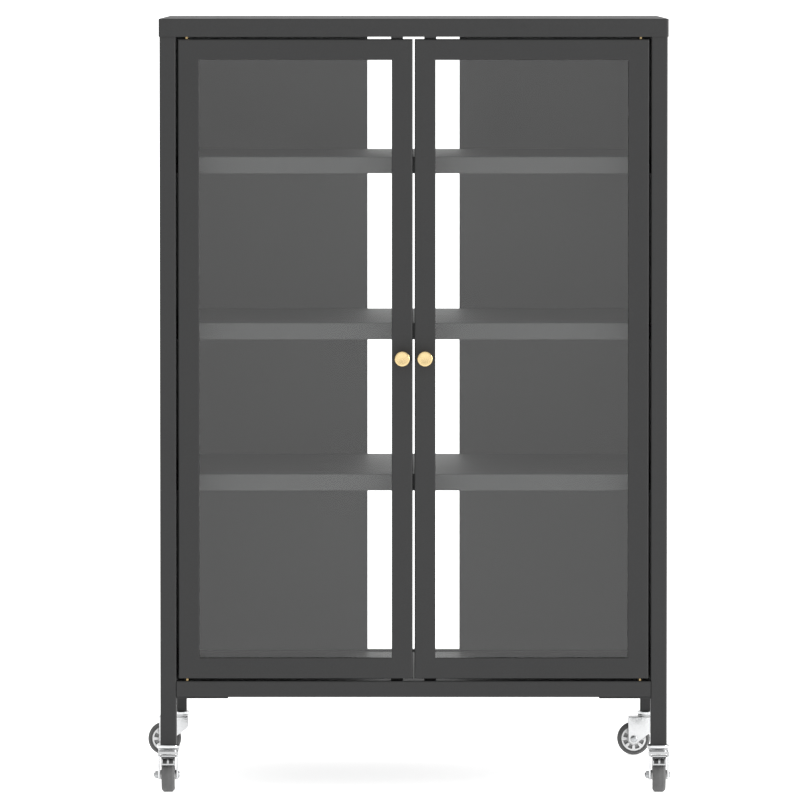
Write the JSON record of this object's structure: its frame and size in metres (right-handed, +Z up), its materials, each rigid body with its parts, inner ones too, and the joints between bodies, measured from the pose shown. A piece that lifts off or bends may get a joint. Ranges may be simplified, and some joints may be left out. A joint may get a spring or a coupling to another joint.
{
  "type": "media cabinet",
  "caption": "Tall steel media cabinet with two framed glass doors, inner shelves, a rear cable gap and braked swivel casters.",
  "frame": {"origin": "on the floor, below the middle of the frame", "axes": "+Z up, the doors face -Y, +X to the right seen from the front"},
  "size_m": [0.5903, 0.4899, 0.8534],
  "materials": {
    "frame_paint": "charcoal powder coat, fine satin texture",
    "shelf_paint": "charcoal powder coat, fine satin texture, a little lighter",
    "brass": "polished brass",
    "glass": "clear float glass",
    "seal": "black extruded rubber",
    "steel": "bright zinc plate",
    "magnet": "dark moulded ferrite",
    "socket_plastic": "black moulded nylon",
    "caster_chrome": "bright zinc and chrome plate",
    "hub_plastic": "light grey moulded nylon",
    "tyre": "dark grey non-marking rubber"
  },
  "bodies": {
    "cabinet": {"bottom_rails": "frame_paint", "caster_sockets": "socket_plastic", "corner_gussets": "frame_paint", "door_stops": "frame_paint", "floor_panel": "frame_paint", "front_left_caster_stem": "caster_chrome", "front_left_post": "frame_paint", "front_right_caster_stem": "caster_chrome", "front_right_post": "frame_paint", "left_back_panel": "shelf_paint", "left_side_panel": "frame_paint", "lower_shelf": "shelf_paint", "middle_shelf": "shelf_paint", "panel_screws": "steel", "pivot_bushes": "brass", "rear_left_caster_stem": "caster_chrome", "rear_left_post": "frame_paint", "rear_right_caster_stem": "caster_chrome", "rear_right_post": "frame_paint", "right_back_panel": "shelf_paint", "right_side_panel": "frame_paint", "shelf_runners": "shelf_paint", "stop_magnets": "magnet", "top_cap": "frame_paint", "top_rails": "frame_paint", "upper_shelf": "shelf_paint"},
    "left_door": {"left_door_frame": "frame_paint", "left_door_gasket": "seal", "left_door_glass": "glass", "left_door_glazing_beads": "frame_paint", "left_door_knob": "brass", "left_door_knob_screw": "steel", "left_door_pivot_pins": "brass"},
    "right_door": {"right_door_frame": "frame_paint", "right_door_gasket": "seal", "right_door_glass": "glass", "right_door_glazing_beads": "frame_paint", "right_door_knob": "brass", "right_door_knob_screw": "steel", "right_door_pivot_pins": "brass"},
    "front_left_fork": {"front_left_caster_axle_bolt": "steel", "front_left_caster_brake_pin": "steel", "front_left_caster_fork": "caster_chrome"},
    "front_left_wheel": {"front_left_caster_hub": "hub_plastic", "front_left_caster_tyre": "tyre"},
    "front_left_pedal": {"front_left_caster_brake_pedal": "caster_chrome"},
    "front_right_fork": {"front_right_caster_axle_bolt": "steel", "front_right_caster_brake_pin": "steel", "front_right_caster_fork": "caster_chrome"},
    "front_right_wheel": {"front_right_caster_hub": "hub_plastic", "front_right_caster_tyre": "tyre"},
    "front_right_pedal": {"front_right_caster_brake_pedal": "caster_chrome"},
    "rear_left_fork": {"rear_left_caster_axle_bolt": "steel", "rear_left_caster_fork": "caster_chrome"},
    "rear_left_wheel": {"rear_left_caster_hub": "hub_plastic", "rear_left_caster_tyre": "tyre"},
    "rear_right_fork": {"rear_right_caster_axle_bolt": "steel", "rear_right_caster_fork": "caster_chrome"},
    "rear_right_wheel": {"rear_right_caster_hub": "hub_plastic", "rear_right_caster_tyre": "tyre"}
  },
  "joints": [
    {"name": "left_door_hinge", "type": "hinge", "parent": "cabinet", "child": "left_door", "pos_m": [-0.2503, -0.2225, 0.1246], "axis": [0, 0, -1], "range_deg": [0, 120]},
    {"name": "right_door_hinge", "type": "hinge", "parent": "cabinet", "child": "right_door", "pos_m": [0.2503, -0.2225, 0.1246], "axis": [0, 0, 1], "range_deg": [0, 120]},
    {"name": "front_left_swivel", "type": "hinge", "parent": "cabinet", "child": "front_left_fork", "pos_m": [-0.271, -0.2185, 0.051], "axis": [0, 0, 1], "continuous": true},
    {"name": "front_left_wheel_spin", "type": "hinge", "parent": "front_left_fork", "child": "front_left_wheel", "pos_m": [-0.271, -0.235, 0.019], "axis": [1, 0, 0], "continuous": true},
    {"name": "front_left_brake", "type": "hinge", "parent": "front_left_fork", "child": "front_left_pedal", "pos_m": [-0.271, -0.2417, 0.04], "axis": [1, 0, 0], "range_deg": [0, 4.5]},
    {"name": "front_right_swivel", "type": "hinge", "parent": "cabinet", "child": "front_right_fork", "pos_m": [0.271, -0.2185, 0.051], "axis": [0, 0, 1], "continuous": true},
    {"name": "front_right_wheel_spin", "type": "hinge", "parent": "front_right_fork", "child": "front_right_wheel", "pos_m": [0.271, -0.235, 0.019], "axis": [1, 0, 0], "continuous": true},
    {"name": "front_right_brake", "type": "hinge", "parent": "front_right_fork", "child": "front_right_pedal", "pos_m": [0.271, -0.2417, 0.04], "axis": [1, 0, 0], "range_deg": [0, 4.5]},
    {"name": "rear_left_swivel", "type": "hinge", "parent": "cabinet", "child": "rear_left_fork", "pos_m": [-0.271, 0.2185, 0.051], "axis": [0, 0, 1], "continuous": true},
    {"name": "rear_left_wheel_spin", "type": "hinge", "parent": "rear_left_fork", "child": "rear_left_wheel", "pos_m": [-0.2875, 0.2185, 0.019], "axis": [0, 1, 0], "continuous": true},
    {"name": "rear_right_swivel", "type": "hinge", "parent": "cabinet", "child": "rear_right_fork", "pos_m": [0.271, 0.2185, 0.051], "axis": [0, 0, 1], "continuous": true},
    {"name": "rear_right_wheel_spin", "type": "hinge", "parent": "rear_right_fork", "child": "rear_right_wheel", "pos_m": [0.2545, 0.2185, 0.019], "axis": [0, 1, 0], "continuous": true}
  ]
}
